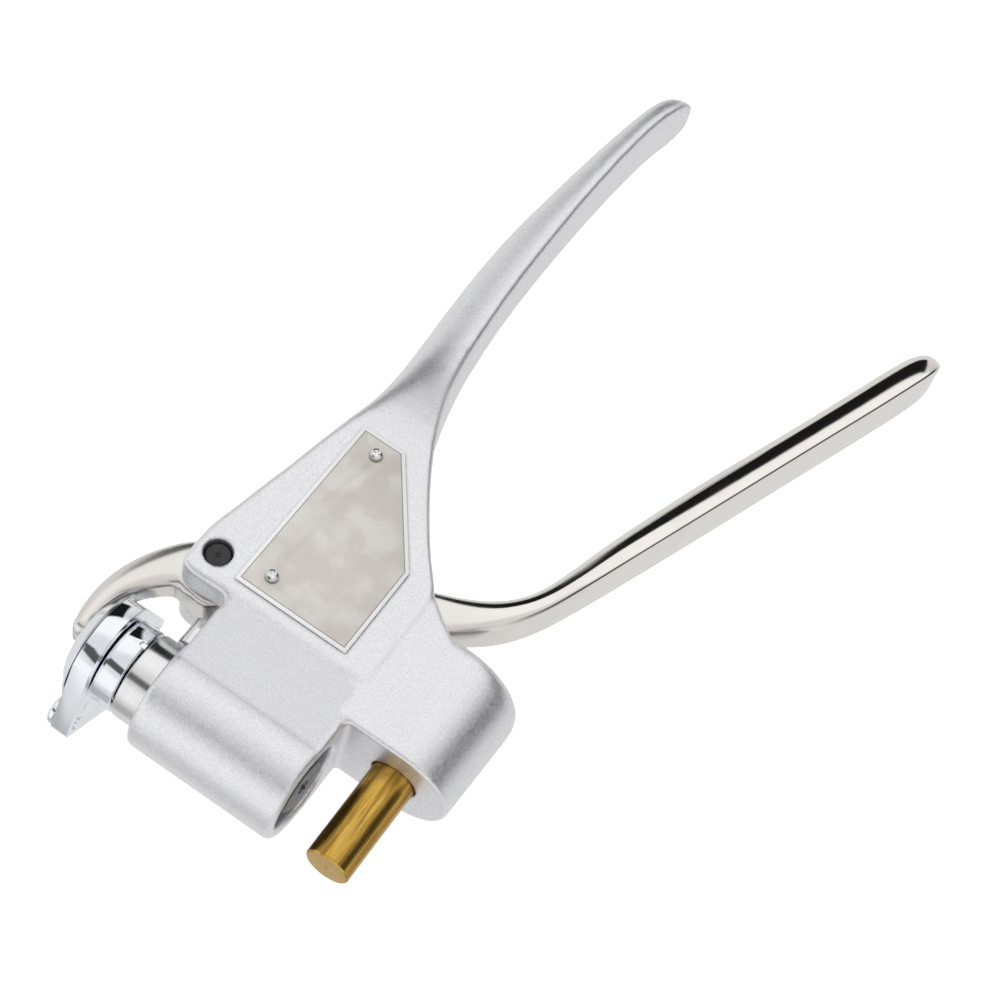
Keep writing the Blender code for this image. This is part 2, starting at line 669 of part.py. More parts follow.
def make_return_spring(datum):
    """Guide ring held in the barrel's mouth and the spring that pushes the housing back."""
    ring = [(RING_RIGHT, NOSE_R + GAP + 0.1), (RING_RIGHT, BORE_R - 0.5), (RING_RIGHT - 0.2, BORE_R - GAP),
            (RING_LEFT + 0.2, BORE_R - GAP), (RING_LEFT, BORE_R - 0.5), (RING_LEFT, NOSE_R + GAP + 0.1)]
    turned("front_guide_ring", ring, datum, BLACK, turn=TURN_TO_X)
    coil("return_spring", SHOULDER_X + GAP, RING_LEFT - GAP, 8.2, 0.6, 4.0, datum, SPRING)


def make_adjusting_nut(slide):
    """Load adjusting nut: a ring behind the housing with a threaded boss inside it."""
    left, right = -59.1, -54.1
    profile = [(-49.0, 2.3), (-49.0, 7.0), (-49.4, 7.4), (right, 7.4), (right, 9.2), (right - 0.3, 9.5),
               (left + 0.3, 9.5), (left, 9.2), (left, 2.3)]
    nut = turned("load_adjusting_nut", profile, slide, CHROME, turn=TURN_TO_X)
    notch = rod("wrench_notch", -1.2, 1.2, 0.8, slide, steps=SMALL_STEPS, at=(right - 0.5, 2.2, 9.4))
    return combine(nut, notch, "DIFFERENCE")


# ---------------------------------------------------------------- indicator


def case_outline():
    """Shield outline of the case, as (Z, Y) pairs: a round top, two ears and a point."""
    top = []
    for step in range(11):
        angle = math.radians(140 - 10 * step)
        top.append((CASE_TOP_R * math.sin(angle), CASE_TOP_R * math.cos(angle)))
    ear_y, ear_z = CASE_EAR
    lower = fillet_outline([(top[-1][0], top[-1][1], 0), (ear_z, ear_y, 2.2), (CASE_POINT, 0, 1.5),
                            (ear_z, -ear_y, 2.2), (top[0][0], top[0][1], 0)])
    return top + lower[1:-1]


def across(name, outline, low, high, parent, material=None):
    """A flat piece standing across the X axis, from an outline of (Z, Y) pairs."""
    flat = [(-z, y) for z, y in outline]
    return plate(name, flat, low, high, parent, material, turn=TURN_TO_X)


def dial_outline(margin):
    """V-shaped pocket outline of the sector dial, shrunk by a margin."""
    corners = [(-6.5, -9.0), (-12.35, -9.0), (-18.66, 0.0), (-12.35, 9.0), (-6.5, 9.0)]
    return grow(corners, -margin)


def make_case(slide):
    """Indicator case with its screw holes, spindle hole and dial pocket."""
    case = across("indicator_case", case_outline(), CASE_BACK, CASE_FRONT, slide, CHROME)
    bevel(case, 0.35)
    spindle_hole = turned("case_hole", [(-58, 0), (-58, 2.4), (-61.0, 2.4), (-61.0, 5.4), (-65, 5.4), (-65, 0)],
                          slide, turn=TURN_TO_X)
    combine(case, spindle_hole, "DIFFERENCE")
    combine(case, across("dial_pocket", dial_outline(0.0), -65, DIAL_POCKET_FLOOR, slide), "DIFFERENCE")
    combine(case, rod("shaft_hole", -62, -60.1, 0.9, slide, at=(0, 0, DIAL_PIVOT_Z), turn=TURN_TO_X,
                      steps=SMALL_STEPS), "DIFFERENCE")
    for side in (-1, 1):
        combine(case, rod(f"ear_hole_{side + 1}", -66, -57, 1.6, slide, turn=TURN_TO_X, steps=SMALL_STEPS,
                          at=(0, side * EAR_SCREW[0], EAR_SCREW[1])), "DIFFERENCE")


def make_ear_screws(slide):
    """Two pan-head screws through the ears of the case."""
    for name, side in (("left", -1), ("right", 1)):
        at = (0, side * EAR_SCREW[0], EAR_SCREW[1])
        top = -65.5
        profile = [(CASE_FRONT + 0.2, 0), (CASE_FRONT + 0.2, 1.25), (CASE_BACK - GAP, 1.25),
                   (CASE_BACK - GAP, 3.2), (top + 0.9, 3.2), (top + 0.3, 2.6), (top, 1.6), (top, 0)]
        screw = turned(f"indicator_screw_{name}", profile, slide, CHROME, at=at, turn=TURN_TO_X,
                       steps=SMALL_STEPS)
        slot = block(f"ear_screw_slot_{name}", (top - 1, at[1] - 4, at[2] - 0.4),
                     (top + 0.7, at[1] + 4, at[2] + 0.4), slide)
        combine(screw, slot, "DIFFERENCE")


def make_thrust_cap(slide):
    """Domed cap that the lever's nose pushes, with its boss in the case."""
    base = CASE_BACK - PRESS_GAP
    profile = [(-64.2, 0), (-64.2, 2.3), (-61.4, 2.3), (-61.4, 5.0), (base, 5.0), (base, 11.6),
               (base - 0.3, 12.0), (-64.5, 10.7), (-66.0, 8.9), (-66.6, 7.6), (CAP_FACE, 6.0),
               (CAP_FACE, 0)]
    turned("thrust_cap", profile, slide, CHROME, turn=TURN_TO_X)


def make_dial(slide, needle):
    """Sector dial, its window, and the pointer on its shaft."""
    dial = across("dial", dial_outline(PRESS_GAP), -62.0, -61.7, slide, DIAL_WHITE)
    combine(dial, rod("dial_hole", -63, -61, 0.9, slide, at=(0, 0, DIAL_PIVOT_Z), turn=TURN_TO_X,
                      steps=SMALL_STEPS), "DIFFERENCE")
    across("crystal", dial_outline(PRESS_GAP), -63.35, -62.95, slide, CLEAR)
    rod("pointer_shaft", -62.35, -60.4, 0.6, needle, GROUND, turn=TURN_TO_X, steps=16)
    reach = POINTER_LENGTH
    outline = [(1.1, -0.5), (1.1, 0.5), (-1.0, 0.75), (-reach, 0.12), (-reach, -0.12), (-1.0, -0.75)]
    turned_outline = [tuple(Matrix.Rotation(POINTER_REST, 2) @ Vector(corner)) for corner in outline]
    across("pointer", turned_outline, -62.9 + 0.05, -62.55, needle, NEEDLE)


# ---------------------------------------------------------------- assembly


def main():
    """Builds every piece under its own empty."""
    datum = new_empty("datum", DATUM)
    pivot = new_empty("lever_pivot", (*PIVOT, 0), datum)
    slide = new_empty("housing_slide", (0, 0, 0), datum)
    spindle = new_empty("penetrator_slide", (0, 0, 0), slide)
    needle = new_empty("pointer_pivot", (0, 0, DIAL_PIVOT_Z), slide)
    make_frame(datum)
    make_lever(pivot)
    make_lever_hinge(datum, pivot)
    make_anvil(datum)
    make_key(datum)
    make_name_plate(datum)
    make_housing(slide)
    make_penetrator(slide, spindle)
    make_return_spring(datum)
    make_adjusting_nut(slide)
    make_case(slide)
    make_ear_screws(slide)
    make_thrust_cap(slide)
    make_dial(slide, needle)


main()
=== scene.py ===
"""Looks for a pliers-type hardness tester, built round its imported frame.

The tool lies on its side. Lengths here are millimetres in the tool's own axes, whose origin, the
datum, is where the penetrator's axis crosses the anvil's: +X runs to the anvil, +Y to the handles
and +Z out of the name plate. row turns them into metres in the row frame.
"""

from __future__ import annotations

import json
import logging
import math
from collections.abc import Iterable, Sequence
from dataclasses import dataclass, field
from enum import Enum

import bmesh
import bpy
import numpy as np
from mathutils import Euler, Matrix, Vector

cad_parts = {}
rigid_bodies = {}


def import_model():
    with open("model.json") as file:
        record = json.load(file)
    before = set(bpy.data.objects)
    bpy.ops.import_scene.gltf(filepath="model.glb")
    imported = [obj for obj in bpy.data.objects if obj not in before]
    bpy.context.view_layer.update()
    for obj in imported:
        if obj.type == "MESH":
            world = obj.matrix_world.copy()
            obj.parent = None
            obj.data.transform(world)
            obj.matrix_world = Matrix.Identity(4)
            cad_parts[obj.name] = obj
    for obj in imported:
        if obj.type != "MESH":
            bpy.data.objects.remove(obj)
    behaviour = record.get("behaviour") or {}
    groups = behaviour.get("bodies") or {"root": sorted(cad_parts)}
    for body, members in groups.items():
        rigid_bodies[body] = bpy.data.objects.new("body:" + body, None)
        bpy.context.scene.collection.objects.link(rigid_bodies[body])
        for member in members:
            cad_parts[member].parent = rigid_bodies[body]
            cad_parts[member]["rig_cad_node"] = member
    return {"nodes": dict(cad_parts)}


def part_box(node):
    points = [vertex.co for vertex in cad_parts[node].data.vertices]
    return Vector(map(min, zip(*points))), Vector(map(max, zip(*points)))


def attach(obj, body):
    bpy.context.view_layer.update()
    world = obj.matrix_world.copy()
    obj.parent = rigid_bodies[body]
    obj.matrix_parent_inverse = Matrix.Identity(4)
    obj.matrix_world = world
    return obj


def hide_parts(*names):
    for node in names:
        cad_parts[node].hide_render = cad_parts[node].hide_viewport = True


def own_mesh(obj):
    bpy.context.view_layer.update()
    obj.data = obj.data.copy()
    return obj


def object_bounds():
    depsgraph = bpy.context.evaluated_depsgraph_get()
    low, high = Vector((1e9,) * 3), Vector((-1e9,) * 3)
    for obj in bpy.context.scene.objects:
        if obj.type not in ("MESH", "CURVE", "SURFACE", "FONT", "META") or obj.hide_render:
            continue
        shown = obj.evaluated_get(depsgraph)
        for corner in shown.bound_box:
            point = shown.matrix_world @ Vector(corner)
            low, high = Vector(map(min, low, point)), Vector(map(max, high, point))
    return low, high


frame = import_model()
CAD_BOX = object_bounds()
NODES: dict[str, bpy.types.Object] = frame["nodes"]

LOG = logging.getLogger("hardness_tester")
MM = 0.001

Point = tuple[float, float, float]
Colour = tuple[float, float, float]


class Body(str, Enum):
    """The CAD bodies that pieces ride on."""

    FRAME = "frame_body"
    LEVER = "lever_body"
    HOUSING = "housing_body"
    PENETRATOR = "penetrator_body"
    POINTER = "pointer_body"


class Slot(str, Enum):
    """The record's material slots."""

    CAST = "cast_silver"
    POLISHED = "polished_steel"
    CHROME = "chrome_plate"
    GROUND = "ground_steel"
    SPRING = "spring_steel"
    BLACK = "black_oxide"
    BRASS = "anvil_brass"
    BRONZE = "bush_bronze"
    ETCHED = "etched_plate"
    DIAL = "dial_white"
    NEEDLE = "needle_black"
    CLEAR = "clear_window"


def datum() -> Vector:
    """The datum in the row frame, read from the anvil's and the thrust cap's boxes."""
    anvil_low, anvil_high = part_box("anvil")
    cap_low, cap_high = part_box("thrust_cap")
    return Vector(((anvil_low.x + anvil_high.x) / 2, (cap_low.y + cap_high.y) / 2,
                   (anvil_low.z + anvil_high.z) / 2))


DATUM = datum()


def row(x: float, y: float, z: float) -> Vector:
    """A point in the tool's millimetres as a point in the row frame's metres."""
    return DATUM + Vector((x, y, z)) * MM


# ---------------------------------------------------------------- shader expressions


class Socket:
    """An output of a node, or a number, on which arithmetic adds Math nodes."""

    def __init__(self, graph: Graph, source: bpy.types.NodeSocket) -> None:
        """Keeps the node tree and the output that it wraps."""
        self.graph = graph
        self.source = source

    def _math(self, operation: str, *values: Socket | float) -> Socket:
        """A Math node over the given values."""
        return self.graph.node("ShaderNodeMath", {"operation": operation}, dict(enumerate(values)))

    def __add__(self, other: Socket | float) -> Socket:
        """self + other."""
        return self._math("ADD", self, other)

    def __radd__(self, other: float) -> Socket:
        """other + self."""
        return self._math("ADD", other, self)

    def __sub__(self, other: Socket | float) -> Socket:
        """self - other."""
        return self._math("SUBTRACT", self, other)

    def __rsub__(self, other: float) -> Socket:
        """other - self."""
        return self._math("SUBTRACT", other, self)

    def __mul__(self, other: Socket | float) -> Socket:
        """self * other."""
        return self._math("MULTIPLY", self, other)

    def __rmul__(self, other: float) -> Socket:
        """other * self."""
        return self._math("MULTIPLY", other, self)

    def __pow__(self, other: Socket | float) -> Socket:
        """self ** other."""
        return self._math("POWER", self, other)

    def __abs__(self) -> Socket:
        """The absolute value."""
        return self._math("ABSOLUTE", self)

    def least(self, other: Socket | float) -> Socket:
        """The smaller of the two."""
        return self._math("MINIMUM", self, other)

    def sine(self) -> Socket:
        """The sine, in radians."""
        return self._math("SINE", self)

    def rise(self, low: float, high: float) -> Socket:
        """A smooth step from 0 at low to 1 at high; low may be the larger."""
        values = {"Value": self, "From Min": min(low, high), "From Max": max(low, high),
                  "To Min": 0.0 if low < high else 1.0, "To Max": 1.0 if low < high else 0.0}
        return self.graph.node("ShaderNodeMapRange", {"interpolation_type": "SMOOTHSTEP"}, values)


Value = Socket | float | Colour | Point


class Graph:
    """The node tree of one material or of the world."""

    def __init__(self, owner: bpy.types.Material | bpy.types.World) -> None:
        """Empties the owner's node tree and keeps it."""
        owner.use_nodes = True
        self.owner = owner
        self.tree = owner.node_tree
        self.tree.nodes.clear()

    def node(self, kind: str, settings: dict[str, object] | None = None,
             values: dict[str | int, Value] | None = None, output: str | int = 0) -> Socket:
        """Adds a node.

        Args:
            kind: The node's type name.
            settings: Properties set before the sockets.
            values: What each input holds or is linked to.
            output: Which output to return.

        Returns:
            The chosen output.
        """
        made = self.tree.nodes.new(kind)
        for name, setting in (settings or {}).items():
            setattr(made, name, setting)
        for key, value in (values or {}).items():
            entry = made.inputs[key]
            if isinstance(value, Socket):
                self.tree.links.new(value.source, entry)
            elif isinstance(value, tuple) and entry.type == "RGBA":
                entry.default_value = (*value, 1.0)
            else:
                entry.default_value = value
        return Socket(self, made.outputs[output] if made.outputs else None)

    def coordinates(self) -> Socket:
        """Object coordinates: metres in the row frame at rest."""
        return self.node("ShaderNodeTexCoord", output="Object")

    def axes(self, vector: Socket) -> tuple[Socket, Socket, Socket]:
        """A vector's three parts."""
        split = self.node("ShaderNodeSeparateXYZ", values={0: vector})
        outputs = split.source.node.outputs
        return Socket(self, outputs[0]), Socket(self, outputs[1]), Socket(self, outputs[2])

    def tool_axes(self) -> tuple[Socket, Socket, Socket]:
        """The place on the surface in the tool's millimetres."""
        moved = self.node("ShaderNodeVectorMath", {"operation": "SUBTRACT"},
                          {0: self.coordinates(), 1: tuple(DATUM)})
        scaled = self.node("ShaderNodeVectorMath", {"operation": "SCALE"}, {0: moved, "Scale": 1 / MM})
        return self.axes(scaled)

    def stretched(self, x: float, y: float, z: float) -> Socket:
        """Object coordinates with each axis scaled, for streaks and brushing."""
        return self.node("ShaderNodeVectorMath", {"operation": "MULTIPLY"},
                         {0: self.coordinates(), 1: (x, y, z)})

    def noise(self, size: float, detail: float = 2.0, roughness: float = 0.5,
              vector: Socket | None = None) -> Socket:
        """Noise with features of about that size in millimetres, from 0 to 1."""
        values = {"Vector": vector or self.coordinates(), "Scale": 1 / (size * MM), "Detail": detail,
                  "Roughness": roughness}
        return self.node("ShaderNodeTexNoise", values=values)

    def cells(self, size: float) -> Socket:
        """Random colours in cells of about that size in millimetres."""
        values = {"Vector": self.coordinates(), "Scale": 1 / (size * MM)}
        return self.node("ShaderNodeTexVoronoi", values=values, output="Color")

    def mix(self, share: Socket | float, first: Socket | Colour, second: Socket | Colour) -> Socket:
        """A blend of two colours."""
        settings = {"data_type": "RGBA", "clamp_factor": True}
        return self.node("ShaderNodeMix", settings, {0: share, 6: first, 7: second}, output=2)

    def bump(self, height: Socket, depth: float, strength: float = 1.0) -> Socket:
        """A Bump node over a height from 0 to 1 that stands for a depth in millimetres."""
        return self.node("ShaderNodeBump", values={"Height": height, "Distance": depth * MM,
                                                   "Strength": strength})

    def surface(self, **values: Value) -> Socket:
        """The Principled surface, with spaces in socket names given as underscores."""
        named = {name.replace("_", " "): value for name, value in values.items()}
        return self.node("ShaderNodeBsdfPrincipled", values=named)

    def finish(self, shader: Socket) -> None:
        """Joins the shader to the output."""
        target = "World" if isinstance(self.owner, bpy.types.World) else "Material"
        self.node(f"ShaderNodeOutput{target}", values={"Surface": shader})


# ---------------------------------------------------------------- finishes


@dataclass(frozen=True)
class Finish:
    """A surface finish: its name, its record slot and how its nodes are laid."""

    name: str
    slot: Slot

    def lay(self, graph: Graph) -> Socket:
        """Builds the shader and returns it."""
        raise NotImplementedError

    def material(self) -> bpy.types.Material:
        """The finish as a material, made once."""
        found = bpy.data.materials.get(self.name)
        if found is None:
            found = bpy.data.materials.new(self.name)
            graph = Graph(found)
            graph.finish(self.lay(graph))
        return found

    def coat(self, obj: bpy.types.Object) -> bpy.types.Object:
        """Puts the finish on an object, in place of what it had."""
        obj.data.materials.clear()
        obj.data.materials.append(self.material())
        return obj


@dataclass(frozen=True)
class BlastedSilver(Finish):
    """Bead-blasted light alloy with fine glitter, a little smoother where it is rubbed."""

    colour: Colour = (0.87, 0.875, 0.90)
    glitter: Colour = (0.97, 0.975, 0.985)
    shade: Colour = (0.58, 0.585, 0.62)
    web_shade: Colour = (0.70, 0.705, 0.75)
    grain: float = 0.30
    roughness: float = 0.40
    web_right: float = -13.2
    web_levels: tuple[float, float] = (11.3, 12.1)

    def web(self, graph: Graph) -> Socket:
        """The web's face between the barrel and the pad, where the colour is painted darker and with less
        glitter.
        """
        x, y, z = graph.tool_axes()
        low, high = self.web_levels
        level = z.rise(low - 0.2, low + 0.2) * z.rise(high + 0.1, high - 0.1)
        across = x.rise(self.web_right + 0.6, self.web_right - 1.6)
        return level * across * y.rise(-1.0, 3.0) * y.rise(21.0, 18.5)

    def lay(self, graph: Graph) -> Socket:
        """Grain and glitter over a rough metal."""
        grain = graph.noise(self.grain, detail=3.0, roughness=0.65)
        fleck = graph.cells(self.grain * 1.15)
        fleck_value = graph.axes(fleck)[0]
        patches = graph.noise(14.0, detail=2.0)
        # Over the web the colour is painted darker, towards web_shade, with less glitter; its roughness is
        # unchanged.
        web_darkening = self.web(graph)
        dull = graph.mix(web_darkening * 0.6, self.colour, self.web_shade)
        dark = graph.mix(grain.rise(0.60, 0.32) * (0.55 + web_darkening * 0.2), dull, self.shade)
        light = graph.mix(fleck_value.rise(0.80, 0.98) * (0.5 - web_darkening * 0.3), dark, self.glitter)
        rough = self.roughness + (fleck_value - 0.5) * 0.12 + (patches - 0.5) * 0.05
        height = graph.bump(grain * 0.6 + fleck_value * 0.4, 0.022, 0.7)
        return graph.surface(Base_Color=light, Metallic=0.88, Roughness=rough, Normal=height)


@dataclass(frozen=True)
class MirrorSteel(Finish):
    """Hand-polished stainless steel: faint haze, buffing lines and a slightly wavy face."""

    colour: Colour = (0.83, 0.81, 0.775)
    haze: Colour = (0.74, 0.72, 0.69)
    roughness: float = 0.07

    def lay(self, graph: Graph) -> Socket:
        """Haze in patches and fine buffing lines along the bar."""
        cloud = graph.noise(9.0, detail=3.0)
        buff = graph.noise(1.0, detail=4.0, vector=graph.stretched(1.6, 0.12, 1.6))
        colour = graph.mix(cloud.rise(0.45, 0.75) * 0.5, self.colour, self.haze)
        satin = graph.tool_axes()[1].rise(57.0, 45.0)
        colour = graph.mix(satin * 0.55, colour, self.haze)
        rough = self.roughness + buff * 0.06 + cloud.rise(0.55, 0.8) * 0.04 + satin * 0.16
        wave = graph.bump(graph.noise(7.0, detail=1.0), 0.05, 0.5)
        return graph.surface(Base_Color=colour, Metallic=1.0, Roughness=rough, Normal=wave)


@dataclass(frozen=True)
class BrightPlate(Finish):
    """Bright chrome plate with a cold tint, thin haze and a few fine scuffs."""

    colour: Colour = (0.86, 0.885, 0.93)
    haze: Colour = (0.74, 0.78, 0.84)
    roughness: float = 0.05

    def lay(self, graph: Graph) -> Socket:
        """Haze and scuffs on a mirror."""
        cloud = graph.noise(3.0, detail=4.0, roughness=0.6)
        scuff = graph.noise(0.5, detail=2.0, vector=graph.stretched(0.25, 1.4, 0.9)).rise(0.66, 0.8)
        colour = graph.mix(cloud.rise(0.5, 0.75) * 0.5, self.colour, self.haze)
        rough = self.roughness + cloud.rise(0.55, 0.85) * 0.08 + scuff * 0.12
        return graph.surface(Base_Color=colour, Metallic=1.0, Roughness=rough,
                             Normal=graph.bump(cloud, 0.02, 0.35))


@dataclass(frozen=True)
class GroundSteel(Finish):
    """Turned and ground steel with fine lines round the sliding axis, and painted shade over the nose."""

    colour: Colour = (0.82, 0.82, 0.83)
    line: Colour = (0.60, 0.60, 0.61)
    # Painted shade: the near-black colour of the nose round the mouth, where it lies in shadow.
    nose_shade: Colour = (0.07, 0.07, 0.075)
    roughness: float = 0.12
    nose_shade_level: float = -25.0

    def lay(self, graph: Graph) -> Socket:
        """Lines round the axis, which runs along X, and painted shade that takes the nose nearly to black."""
        lines = graph.noise(0.35, detail=4.0, roughness=0.7, vector=graph.stretched(1.0, 0.03, 0.03))
        stain = graph.noise(3.5, detail=3.0)
        # Painted shade: from X = -25 mm towards the anvil, over the nose round the mouth, the colour is taken
        # nearly to black and the roughness rises.
        nose_shaded = graph.tool_axes()[0].rise(self.nose_shade_level - 1.0, self.nose_shade_level + 1.0)
        colour = graph.mix(lines.rise(0.42, 0.72) * 0.40, self.colour, self.line)
        colour = graph.mix(nose_shaded * 0.92, colour, self.nose_shade)
        rough = self.roughness + lines * 0.08 + stain.rise(0.5, 0.8) * 0.06 + nose_shaded * 0.25
        return graph.surface(Base_Color=colour, Metallic=1.0, Roughness=rough,
                             Normal=graph.bump(lines, 0.012, 0.6))


@dataclass(frozen=True)
class StreakedBrass(Finish):
    """Brass coated post: brown streaks along it, a brighter skin between them, a tan end face."""

    colour: Colour = (0.66, 0.41, 0.085)
    streak: Colour = (0.28, 0.145, 0.022)
    glow: Colour = (0.88, 0.62, 0.20)
    end: Colour = (0.70, 0.49, 0.20)
    end_level: float = -10.9

    def lay(self, graph: Graph) -> Socket:
        """Streaks along Y, a paler end face and its centre dot."""
        x, y, z = graph.tool_axes()
        streaks = graph.noise(1.5, detail=5.0, roughness=0.62, vector=graph.stretched(1.0, 0.07, 1.0))
        fine = graph.noise(0.28, detail=3.0, vector=graph.stretched(1.0, 0.05, 1.0))
        skin = graph.mix(streaks.rise(0.62, 0.40) * 0.85, self.colour, self.streak)
        skin = graph.mix(fine.rise(0.55, 0.78) * 0.55, skin, self.glow)
        reach = (x * x + z * z) ** 0.5
        face = y.rise(self.end_level + 0.05, self.end_level - 0.03)
        dot = reach.rise(0.34, 0.24)
        rings = ((reach * 9.0).sine() + 1.0) * 0.06
        flat = graph.mix(rings + dot * 0.9, self.end, self.streak)
        colour = graph.mix(face, skin, flat)
        rough = 0.20 + fine * 0.12 + streaks.rise(0.6, 0.4) * 0.10 + face * 0.18
        return graph.surface(Base_Color=colour, Metallic=1.0, Roughness=rough,
                             Normal=graph.bump(fine + streaks * 0.5, 0.02, 0.5))


@dataclass(frozen=True)
class BlackOxide(Finish):
    """Oiled black oxide with brown-grey rubbed high spots."""

    colour: Colour = (0.040, 0.040, 0.042)
    rubbed: Colour = (0.22, 0.215, 0.21)
    roughness: float = 0.20

    def lay(self, graph: Graph) -> Socket:
        """Rubbed specks on a dark oily skin."""
        specks = graph.noise(0.5, detail=4.0, roughness=0.7)
        oil = graph.noise(2.5, detail=2.0)
        colour = graph.mix(specks.rise(0.58, 0.8) * 0.6, self.colour, self.rubbed)
        rough = self.roughness + oil * 0.16
        return graph.surface(Base_Color=colour, Metallic=0.7, Roughness=rough,
                             Normal=graph.bump(specks, 0.015, 0.5))


@dataclass(frozen=True)
class AgedMetal(Finish):
    """Plain metal with a stain: the spring wire and the bronze bush."""

    colour: Colour = (0.42, 0.43, 0.45)
    stain: Colour = (0.25, 0.25, 0.26)
    roughness: float = 0.30

    def lay(self, graph: Graph) -> Socket:
        """Stains and a light grain."""
        cloud = graph.noise(1.6, detail=3.0)
        grain = graph.noise(0.2, detail=2.0)
        colour = graph.mix(cloud.rise(0.45, 0.7), self.colour, self.stain)
        return graph.surface(Base_Color=colour, Metallic=1.0, Roughness=self.roughness + grain * 0.15,
                             Normal=graph.bump(grain, 0.01, 0.5))


@dataclass(frozen=True)
class EtchedPlate(Finish):
    """Warm satin plate with a fine rolled grain, a thin dark outline and a white margin."""

    corners: tuple[tuple[float, float], ...] = ()
    colour: Colour = (0.60, 0.565, 0.525)
    patch: Colour = (0.69, 0.665, 0.635)
    margin_colour: Colour = (0.92, 0.92, 0.92)
    outline_colour: Colour = (0.20, 0.19, 0.18)
    margin: float = 0.9
    outline: float = 0.16

    def inward(self, graph: Graph) -> Socket:
        """How far a point lies in from the plate's nearest edge, in millimetres."""
        x, y, _ = graph.tool_axes()
        nearest: Socket | None = None
        count = len(self.corners)
        for index, start in enumerate(self.corners):
            end = self.corners[(index + 1) % count]
            along = Vector((end[0] - start[0], end[1] - start[1])).normalized()
            inside = (x - start[0]) * along.y - (y - start[1]) * along.x
            nearest = inside if nearest is None else nearest.least(inside)
        return nearest

    def lay(self, graph: Graph) -> Socket:
        """Grain and soft patches inside the margin's lines."""
        inward = self.inward(graph)
        rolled = graph.noise(0.25, detail=3.0, roughness=0.7, vector=graph.stretched(1.0, 0.35, 1.0))
        cloud = graph.noise(7.0, detail=2.0)
        centre = graph.mix(cloud.rise(0.40, 0.66), self.colour, self.patch)
        centre = graph.mix(rolled.rise(0.5, 0.85) * 0.35, centre, self.margin_colour)
        rim = inward.rise(self.margin + 0.05, self.margin - 0.05)
        line = abs(inward - self.margin).rise(self.outline, self.outline * 0.4)
        colour = graph.mix(rim, centre, self.margin_colour)
        colour = graph.mix(line * 0.75, colour, self.outline_colour)
        rough = 0.34 + rolled * 0.14 + rim * 0.12
        height = graph.bump(rolled * 0.5 + rim * 0.5, 0.03, 0.5)
        return graph.surface(Base_Color=colour, Metallic=0.55, Roughness=rough, Normal=height)


@dataclass(frozen=True)
class Enamel(Finish):
    """Printed or painted face with a slight tooth: the dial, its marks and the pointer."""

    colour: Colour = (0.90, 0.90, 0.88)
    shade: Colour = (0.84, 0.84, 0.81)
    roughness: float = 0.42

    def lay(self, graph: Graph) -> Socket:
        """A soft mottle and a fine tooth."""
        tooth = graph.noise(0.15, detail=2.0)
        cloud = graph.noise(2.0, detail=2.0)
        colour = graph.mix(cloud.rise(0.4, 0.7), self.colour, self.shade)
        return graph.surface(Base_Color=colour, Metallic=0.0, Roughness=self.roughness + tooth * 0.1,
                             Normal=graph.bump(tooth, 0.004, 0.4))


@dataclass(frozen=True)
class ClearWindow(Finish):
    """Thin clear window over the dial."""

    tint: Colour = (0.95, 0.98, 0.98)

    def lay(self, graph: Graph) -> Socket:
        """Mostly seen through, with a gloss that faint smears soften."""
        smear = graph.noise(3.0, detail=3.0)
        return graph.surface(Base_Color=self.tint, Metallic=0.0, Roughness=0.03 + smear * 0.05,
                             Alpha=0.14 + smear.rise(0.5, 0.8) * 0.04, IOR=1.49)


PLATE_CORNERS = ((-48.3, 23.5), (-47.9, 68.4), (-37.6, 68.4), (-21.0, 45.8), (-21.1, 23.4))

SILVER = BlastedSilver("blasted_silver", Slot.CAST)
MIRROR = MirrorSteel("mirror_steel", Slot.POLISHED)
CHROME = BrightPlate("bright_plate", Slot.CHROME)
GROUND = GroundSteel("turned_steel", Slot.GROUND)
BRASS = StreakedBrass("streaked_brass", Slot.BRASS)
OXIDE = BlackOxide("black_oxide_skin", Slot.BLACK)
WIRE = AgedMetal("spring_wire", Slot.SPRING)
WORN = AgedMetal("worn_steel", Slot.SPRING, (0.16, 0.16, 0.17), (0.07, 0.07, 0.075), 0.34)
BRONZE = AgedMetal("bush_metal", Slot.BRONZE, (0.55, 0.36, 0.18), (0.34, 0.20, 0.09), 0.32)
PLATE = EtchedPlate("satin_plate", Slot.ETCHED, PLATE_CORNERS)
DIAL_FACE = Enamel("dial_enamel", Slot.DIAL)
INK = Enamel("scale_ink", Slot.NEEDLE, (0.015, 0.015, 0.016), (0.03, 0.03, 0.03), 0.45)
WINDOW = ClearWindow("dial_window", Slot.CLEAR)


# ---------------------------------------------------------------- mesh building


